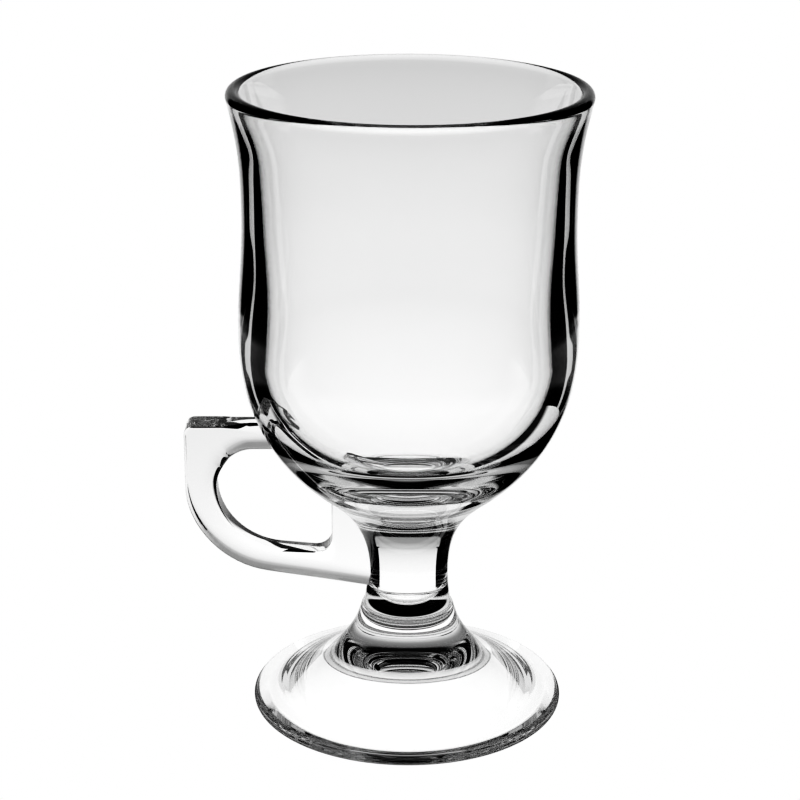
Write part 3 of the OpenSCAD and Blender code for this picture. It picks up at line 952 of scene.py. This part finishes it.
# %% Tree: pressed handle, fall of the sides
from_hole = calc(t, "DIVIDE", minus(t, half_w, section_x), size["Fall width"])
near_hole = largest(t, flip(t, from_hole), 0)
lost = times(t, calc(t, "DIVIDE", form["Z"], half), times(t, near_hole, near_hole))
section_y = times(t, section_y, flip(t, lost))
section_x, section_y = times(t, section_x, scale), times(t, section_y, scale)
print("pressed handle:", len(t.nodes), "nodes so far")

# %% Tree: pressed handle, place and finish
def scaled(place, factor):
    return add(pressing, "ShaderNodeVectorMath", {0: place, "Scale": factor},
               operation="SCALE").outputs[0]


middle = scaled(vector(t, "ADD", outer, inner)[0], 0.5)
shift = scaled(vector(t, "NORMALIZE", across)[0], section_x)
lift = add(t, "ShaderNodeCombineXYZ", {"Y": section_y}).outputs[0]
place = vector(t, "ADD", vector(t, "ADD", middle, shift)[0], lift)[0]
moved = add(t, "GeometryNodeSetPosition", {"Geometry": grid, "Position": place}).outputs[0]
closed = add(t, "GeometryNodeMergeByDistance", {"Geometry": moved, "Distance": 1e-6}).outputs[0]
smooth = add(t, "GeometryNodeSetShadeSmooth",
             {"Geometry": closed, "Shade Smooth": True}, domain="FACE").outputs[0]
real = add(t, "GeometryNodeRealizeInstances", {"Geometry": smooth}).outputs[0]
done = add(t, "GeometryNodeSetMaterial", {"Geometry": real, "Material": size["Glass"]}).outputs[0]
t.links.new(done, pressed_out)
print("pressed handle:", len(t.nodes), "nodes")

# %% Handle blank
EDGE_STEPS, SIDE_STEPS = 8, 5


def measured(piece):
    bm = bmesh.new()
    bm.from_mesh(piece.data)
    volume, open_edges = bm.calc_volume(signed=True), sum(not e.is_manifold for e in bm.edges)
    bm.free()
    print(piece.name, "volume", round(volume / MM ** 3, 1), "mm3, open edges", open_edges)


use_tree(tracks, pressing, {"Thickness": THICK * MM, "Fall width": SIDE_FALL_W * MM,
                            "Steps round an edge": EDGE_STEPS, "Steps on a side": SIDE_STEPS,
                            "Glass": glass})
handle_blank = bake(tracks, "handle_blank")
measured(handle_blank)

# %% [markdown]
# ## Fusing
# On the real mug the handle is pressed on while the glass is hot, and no surface is left
# between the pieces. Four overlapping meshes would show every skin inside the glass. One
# joined mesh would be true to the light, but the mug is kept in four pieces. So the line of
# the seat is drawn on bowl and stem, the faces inside it get the fully clear finish, and
# the handle is cut off along the same surface.

# %% Tree: seat of the handle
seating, size, seat_out = geometry_tree("Seat", [
    ("Blank", "Object"), ("Joint", "Material"), ("Mark", "Material"), ("Sharp angle", "Float")])
t = seating
mark = bpy.data.materials.new("blank mark")
blank = add(t, "GeometryNodeObjectInfo", {"Object": size["Blank"]}).outputs["Geometry"]
marked = add(t, "GeometryNodeSetMaterial", {"Geometry": blank, "Material": size["Mark"]}).outputs[0]


def faces_of_body(operation):
    node = add(seating, "GeometryNodeMeshBoolean", operation=operation, solver="EXACT")
    seating.links.new(size["Geometry"], node.inputs["Mesh 2"])
    seating.links.new(marked, node.inputs["Mesh 2"])
    is_mark = add(seating, "GeometryNodeMaterialSelection", {"Material": size["Mark"]}).outputs[0]
    return add(seating, "GeometryNodeDeleteGeometry",
               {"Geometry": node.outputs["Mesh"], "Selection": is_mark}, domain="FACE").outputs[0]


outside = faces_of_body("UNION")
inside = add(t, "GeometryNodeSetMaterial", {"Geometry": faces_of_body("INTERSECT"),
                                            "Material": size["Joint"]}).outputs[0]
both = add(t, "GeometryNodeJoinGeometry")
t.links.new(outside, both.inputs[0])
t.links.new(inside, both.inputs[0])
closed = add(t, "GeometryNodeMergeByDistance",
             {"Geometry": both.outputs[0], "Distance": 2e-6}).outputs[0]
real = add(t, "GeometryNodeRealizeInstances",
           {"Geometry": creased(t, closed, size["Sharp angle"])}).outputs[0]
t.links.new(real, seat_out)
print("seat:", len(t.nodes), "nodes")

# %% Bowl and stem with their seats
def seated(body, name):
    use_tree(body, seating, {"Blank": handle_blank, "Joint": fused, "Mark": mark,
                             "Sharp angle": TURNED_CREASE})
    return bake(body, name)


bowl = seated(bowl_blank, "bowl_glass")
stem = seated(stem_blank, "stem_glass")

# %% Tree: cut of the handle
HANDLE_CREASE = math.radians(28)

cutting, size, cut_out = geometry_tree("Cut", [
    ("Body", "Object"), ("Joint", "Material"), ("Sharp angle", "Float")])
t = cutting
body = add(t, "GeometryNodeObjectInfo", {"Object": size["Body"]}).outputs["Geometry"]
body = add(t, "GeometryNodeSetMaterial", {"Geometry": body, "Material": size["Joint"]}).outputs[0]
cut = add(t, "GeometryNodeMeshBoolean", operation="DIFFERENCE", solver="EXACT")
t.links.new(size["Geometry"], cut.inputs["Mesh 1"])
t.links.new(body, cut.inputs["Mesh 2"])
real = add(t, "GeometryNodeRealizeInstances",
           {"Geometry": creased(t, cut.outputs["Mesh"], size["Sharp angle"])}).outputs[0]
t.links.new(real, cut_out)
use_tree(handle_blank, cutting, {"Body": whole, "Joint": fused, "Sharp angle": HANDLE_CREASE})
handle = bake(handle_blank, "handle_glass")
bpy.data.objects.remove(whole)

# %% [markdown]
# ## Handing over
# The mug does not move, so all four pieces ride on its one body. Each takes the place of the
# imported solid of the same name, which is hidden. The last prints give the volume of every
# piece and the count of its open edges.

# %% Places and body
for piece, node in ((bowl, "bowl"), (stem, "stem"), (foot, "foot"), (handle, "handle")):
    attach(piece, "root")
    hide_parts(node)
    measured(piece)
